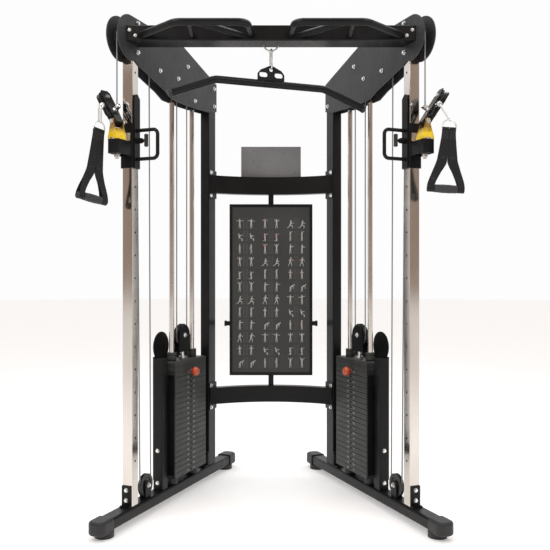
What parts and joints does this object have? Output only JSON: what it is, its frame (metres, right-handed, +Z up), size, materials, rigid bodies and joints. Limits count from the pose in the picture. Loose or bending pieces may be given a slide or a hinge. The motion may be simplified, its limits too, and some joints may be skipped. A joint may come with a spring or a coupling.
{
  "type": "functional trainer",
  "caption": "Free-standing cable machine with two angled side frames, sliding trolleys with swivel pulleys, weight stacks and a pull-up crossbar.",
  "frame": {"origin": "on the floor at the centre of the machine's overall box", "axes": "+Z up, +X to the user's right, user stands at -Y facing +Y"},
  "size_m": [1.6204, 1.2171, 2.207],
  "materials": {
    "black_frame": "satin black powder coat",
    "grey_plate": "satin dark grey powder coat",
    "grey_sheet": "smooth mid grey paint",
    "board": "dark printed board",
    "chrome": "bright chrome plate",
    "bright_steel": "zinc plated steel",
    "rubber": "moulded black rubber",
    "stack_iron": "painted cast iron",
    "cable_jacket": "grey nylon coated steel cable",
    "black_plastic": "moulded nylon",
    "yellow_paint": "yellow paint, bronze at the top",
    "red_knob": "orange red moulded knob",
    "webbing": "black nylon webbing",
    "foam": "closed cell foam"
  },
  "bodies": {
    "frame": {"base_rails": "black_frame", "rail_end_caps": "rubber", "front_uprights": "chrome", "rear_uprights": "black_frame", "top_side_plates": "grey_plate", "top_crossbar": "black_frame", "pullup_grips": "black_frame", "rear_braces": "black_frame", "device_shelf": "grey_sheet", "chart_post": "black_frame", "chart_frame": "black_frame", "chart_board": "board", "guide_rods": "chrome", "stack_bumpers": "rubber", "weight_plates": "stack_iron", "stack_posts": "black_frame", "stack_shrouds": "black_frame", "foot_brackets": "black_frame", "frame_bolts": "bright_steel", "cables": "cable_jacket"},
    "left_nose_pulley": {"left_nose_pulley": "black_plastic"},
    "left_lift_idler": {"left_lift_idler": "black_plastic"},
    "left_return_idler": {"left_return_idler": "black_plastic"},
    "left_drop_idler": {"left_drop_idler": "black_plastic"},
    "left_bottom_pulley": {"left_bottom_pulley": "black_plastic"},
    "left_stack": {"left_stack_head": "stack_iron", "left_lift_block": "black_frame"},
    "left_lift_pulley": {"left_lift_pulley": "black_plastic"},
    "left_selector_pin": {"left_selector_pin": "red_knob"},
    "left_trolley": {"left_trolley_sleeve": "black_frame", "left_trolley_handle": "black_frame"},
    "left_pop_pin": {"left_pop_pin": "black_plastic"},
    "left_swivel_foot": {"left_swivel_foot": "yellow_paint"},
    "left_swivel_arm": {"left_swivel_arm": "black_frame"},
    "left_swivel_pulley_lower": {"left_swivel_pulley_lower": "black_plastic"},
    "left_swivel_pulley_upper": {"left_swivel_pulley_upper": "black_plastic"},
    "left_snap_hook": {"left_snap_hook": "bright_steel"},
    "left_handle_strap": {"left_handle_strap": "webbing"},
    "left_handle_grip": {"left_handle_grip": "foam"},
    "right_nose_pulley": {"right_nose_pulley": "black_plastic"},
    "right_lift_idler": {"right_lift_idler": "black_plastic"},
    "right_return_idler": {"right_return_idler": "black_plastic"},
    "right_drop_idler": {"right_drop_idler": "black_plastic"},
    "right_bottom_pulley": {"right_bottom_pulley": "black_plastic"},
    "right_stack": {"right_stack_head": "stack_iron", "right_lift_block": "black_frame"},
    "right_lift_pulley": {"right_lift_pulley": "black_plastic"},
    "right_selector_pin": {"right_selector_pin": "red_knob"},
    "right_trolley": {"right_trolley_sleeve": "black_frame", "right_trolley_handle": "black_frame"},
    "right_pop_pin": {"right_pop_pin": "black_plastic"},
    "right_swivel_foot": {"right_swivel_foot": "yellow_paint"},
    "right_swivel_arm": {"right_swivel_arm": "black_frame"},
    "right_swivel_pulley_lower": {"right_swivel_pulley_lower": "black_plastic"},
    "right_swivel_pulley_upper": {"right_swivel_pulley_upper": "black_plastic"},
    "right_snap_hook": {"right_snap_hook": "bright_steel"},
    "right_handle_strap": {"right_handle_strap": "webbing"},
    "right_handle_grip": {"right_handle_grip": "foam"},
    "bar_hook": {"bar_hook": "bright_steel"},
    "hanging_bar": {"hanging_bar": "black_frame"}
  },
  "joints": [
    {"name": "left_nose_pulley_spin", "type": "hinge", "parent": "frame", "child": "left_nose_pulley", "pos_m": [-0.63381, -0.39402, 2.105], "axis": [0.9272, -0.3746, 0], "continuous": true},
    {"name": "left_lift_idler_spin", "type": "hinge", "parent": "frame", "child": "left_lift_idler", "pos_m": [-0.44238, 0.07977, 2.12], "axis": [0.9272, -0.3746, 0], "continuous": true},
    {"name": "left_return_idler_spin", "type": "hinge", "parent": "frame", "child": "left_return_idler", "pos_m": [-0.47872, -0.01017, 2.036], "axis": [0.9272, -0.3746, 0], "continuous": true},
    {"name": "left_drop_idler_spin", "type": "hinge", "parent": "frame", "child": "left_drop_idler", "pos_m": [-0.54241, -0.16779, 2.03], "axis": [0.9272, -0.3746, 0], "continuous": true},
    {"name": "left_bottom_pulley_spin", "type": "hinge", "parent": "frame", "child": "left_bottom_pulley", "pos_m": [-0.57162, -0.24011, 0.13], "axis": [0.9272, -0.3746, 0], "continuous": true},
    {"name": "left_stack_lift", "type": "slide", "parent": "frame", "child": "left_stack", "axis": [0, 0, 1], "range_m": [0, 1.05]},
    {"name": "left_lift_pulley_spin", "type": "hinge", "parent": "left_stack", "child": "left_lift_pulley", "pos_m": [-0.44463, 0.0742, 0.785], "axis": [0.9272, -0.3746, 0], "continuous": true},
    {"name": "left_selector_pin_pull", "type": "slide", "parent": "left_stack", "child": "left_selector_pin", "axis": [0.9272, -0.3746, 0], "range_m": [0, 0.08]},
    {"name": "left_trolley_slide", "type": "slide", "parent": "frame", "child": "left_trolley", "axis": [0, 0, 1], "range_m": [-1.2, 0.1], "deforming": ["cables"]},
    {"name": "left_pop_pin_pull", "type": "slide", "parent": "left_trolley", "child": "left_pop_pin", "axis": [0.9272, -0.3746, 0], "range_m": [0, 0.015], "stiffness_N_per_m": 600},
    {"name": "left_swivel_turn", "type": "hinge", "parent": "left_trolley", "child": "left_swivel_foot", "pos_m": [-0.65629, -0.44965, 1.66], "axis": [0, 0, -1], "range_deg": [-70, 10]},
    {"name": "left_arm_tilt", "type": "hinge", "parent": "left_swivel_foot", "child": "left_swivel_arm", "pos_m": [-0.65629, -0.44965, 1.735], "axis": [-0.6428, -0.766, 0], "range_deg": [-32, 0]},
    {"name": "left_swivel_pulley_lower_spin", "type": "hinge", "parent": "left_swivel_arm", "child": "left_swivel_pulley_lower", "pos_m": [-0.68044, -0.43722, 1.7774], "axis": [-0.6496, 0.5451, -0.5299], "continuous": true},
    {"name": "left_swivel_pulley_upper_spin", "type": "hinge", "parent": "left_swivel_arm", "child": "left_swivel_pulley_upper", "pos_m": [-0.71481, -0.41882, 1.83846], "axis": [-0.6496, 0.5451, -0.5299], "continuous": true},
    {"name": "left_hook_swing", "type": "hinge", "parent": "left_swivel_arm", "child": "left_snap_hook", "pos_m": [-0.72489, -0.47041, 1.79776], "axis": [0.5736, 0.8192, 0], "range_deg": [-4, 36]},
    {"name": "left_strap_swing", "type": "hinge", "parent": "left_snap_hook", "child": "left_handle_strap", "pos_m": [-0.72776, -0.47041, 1.699], "axis": [0.5687, 0.8121, -0.1305], "range_deg": [-10, 50]},
    {"name": "left_grip_spin", "type": "hinge", "parent": "left_handle_strap", "child": "left_handle_grip", "pos_m": [-0.74996, -0.50212, 1.405], "axis": [0.5687, 0.8121, -0.1305], "continuous": true},
    {"name": "right_nose_pulley_spin", "type": "hinge", "parent": "frame", "child": "right_nose_pulley", "pos_m": [0.63381, -0.39402, 2.105], "axis": [0.9272, 0.3746, 0], "continuous": true},
    {"name": "right_lift_idler_spin", "type": "hinge", "parent": "frame", "child": "right_lift_idler", "pos_m": [0.44238, 0.07977, 2.12], "axis": [0.9272, 0.3746, 0], "continuous": true},
    {"name": "right_return_idler_spin", "type": "hinge", "parent": "frame", "child": "right_return_idler", "pos_m": [0.47872, -0.01017, 2.036], "axis": [0.9272, 0.3746, 0], "continuous": true},
    {"name": "right_drop_idler_spin", "type": "hinge", "parent": "frame", "child": "right_drop_idler", "pos_m": [0.54241, -0.16779, 2.03], "axis": [0.9272, 0.3746, 0], "continuous": true},
    {"name": "right_bottom_pulley_spin", "type": "hinge", "parent": "frame", "child": "right_bottom_pulley", "pos_m": [0.57162, -0.24011, 0.13], "axis": [0.9272, 0.3746, 0], "continuous": true},
    {"name": "right_stack_lift", "type": "slide", "parent": "frame", "child": "right_stack", "axis": [0, 0, 1], "range_m": [0, 1.05]},
    {"name": "right_lift_pulley_spin", "type": "hinge", "parent": "right_stack", "child": "right_lift_pulley", "pos_m": [0.44463, 0.0742, 0.785], "axis": [0.9272, 0.3746, 0], "continuous": true},
    {"name": "right_selector_pin_pull", "type": "slide", "parent": "right_stack", "child": "right_selector_pin", "axis": [-0.9272, -0.3746, 0], "range_m": [0, 0.08]},
    {"name": "right_trolley_slide", "type": "slide", "parent": "frame", "child": "right_trolley", "axis": [0, 0, 1], "range_m": [-1.2, 0.1]},
    {"name": "right_pop_pin_pull", "type": "slide", "parent": "right_trolley", "child": "right_pop_pin", "axis": [-0.9272, -0.3746, 0], "range_m": [0, 0.015], "stiffness_N_per_m": 600},
    {"name": "right_swivel_turn", "type": "hinge", "parent": "right_trolley", "child": "right_swivel_foot", "pos_m": [0.65629, -0.44965, 1.66], "axis": [0, 0, 1], "range_deg": [-45, 35]},
    {"name": "right_arm_tilt", "type": "hinge", "parent": "right_swivel_foot", "child": "right_swivel_arm", "pos_m": [0.65629, -0.44965, 1.735], "axis": [-0.2588, 0.9659, 0], "range_deg": [-32, 0]},
    {"name": "right_swivel_pulley_lower_spin", "type": "hinge", "parent": "right_swivel_arm", "child": "right_swivel_pulley_lower", "pos_m": [0.68343, -0.44859, 1.7774], "axis": [-0.8192, -0.2195, 0.5299], "continuous": true},
    {"name": "right_swivel_pulley_upper_spin", "type": "hinge", "parent": "right_swivel_arm", "child": "right_swivel_pulley_upper", "pos_m": [0.72236, -0.44644, 1.83846], "axis": [-0.8192, -0.2195, 0.5299], "continuous": true},
    {"name": "right_hook_swing", "type": "hinge", "parent": "right_swivel_arm", "child": "right_snap_hook", "pos_m": [0.70969, -0.49746, 1.79776], "axis": [-1, 0, 0], "range_deg": [-4, 12]},
    {"name": "right_strap_swing", "type": "hinge", "parent": "right_snap_hook", "child": "right_handle_strap", "pos_m": [0.74728, -0.49746, 1.699], "axis": [-0.9982, 0, 0.0593], "range_deg": [-10, 50]},
    {"name": "right_grip_spin", "type": "hinge", "parent": "right_handle_strap", "child": "right_handle_grip", "pos_m": [0.73219, -0.49746, 1.445], "axis": [0.9982, 0, -0.0593], "continuous": true},
    {"name": "bar_hook_swing", "type": "hinge", "parent": "frame", "child": "bar_hook", "pos_m": [0, -0.39, 2.055], "axis": [1, 0, 0], "range_deg": [-35, 35]},
    {"name": "hanging_bar_turn", "type": "hinge", "parent": "bar_hook", "child": "hanging_bar", "pos_m": [0, -0.39, 1.978], "axis": [0, 0, 1], "range_deg": [-20, 20]}
  ],
  "couplings": [
    {"joint": "left_nose_pulley_spin", "follows": "left_stack_lift", "rad_per_m": 33.333},
    {"joint": "left_lift_idler_spin", "follows": "left_stack_lift", "rad_per_m": 44.444},
    {"joint": "left_lift_pulley_spin", "follows": "left_stack_lift", "rad_per_m": 19.608},
    {"joint": "left_return_idler_spin", "follows": "left_trolley_slide", "rad_per_m": 25},
    {"joint": "left_drop_idler_spin", "follows": "left_trolley_slide", "rad_per_m": 21.739},
    {"joint": "left_bottom_pulley_spin", "follows": "left_trolley_slide", "rad_per_m": -22.222},
    {"joint": "left_swivel_pulley_lower_spin", "follows": "left_stack_lift", "rad_per_m": -67.797},
    {"joint": "left_swivel_pulley_upper_spin", "follows": "left_stack_lift", "rad_per_m": 67.797},
    {"joint": "right_nose_pulley_spin", "follows": "right_stack_lift", "rad_per_m": 33.333},
    {"joint": "right_lift_idler_spin", "follows": "right_stack_lift", "rad_per_m": 44.444},
    {"joint": "right_lift_pulley_spin", "follows": "right_stack_lift", "rad_per_m": 19.608},
    {"joint": "right_return_idler_spin", "follows": "right_trolley_slide", "rad_per_m": 25},
    {"joint": "right_drop_idler_spin", "follows": "right_trolley_slide", "rad_per_m": 21.739},
    {"joint": "right_bottom_pulley_spin", "follows": "right_trolley_slide", "rad_per_m": -22.222},
    {"joint": "right_swivel_pulley_lower_spin", "follows": "right_stack_lift", "rad_per_m": -67.797},
    {"joint": "right_swivel_pulley_upper_spin", "follows": "right_stack_lift", "rad_per_m": 67.797}
  ]
}
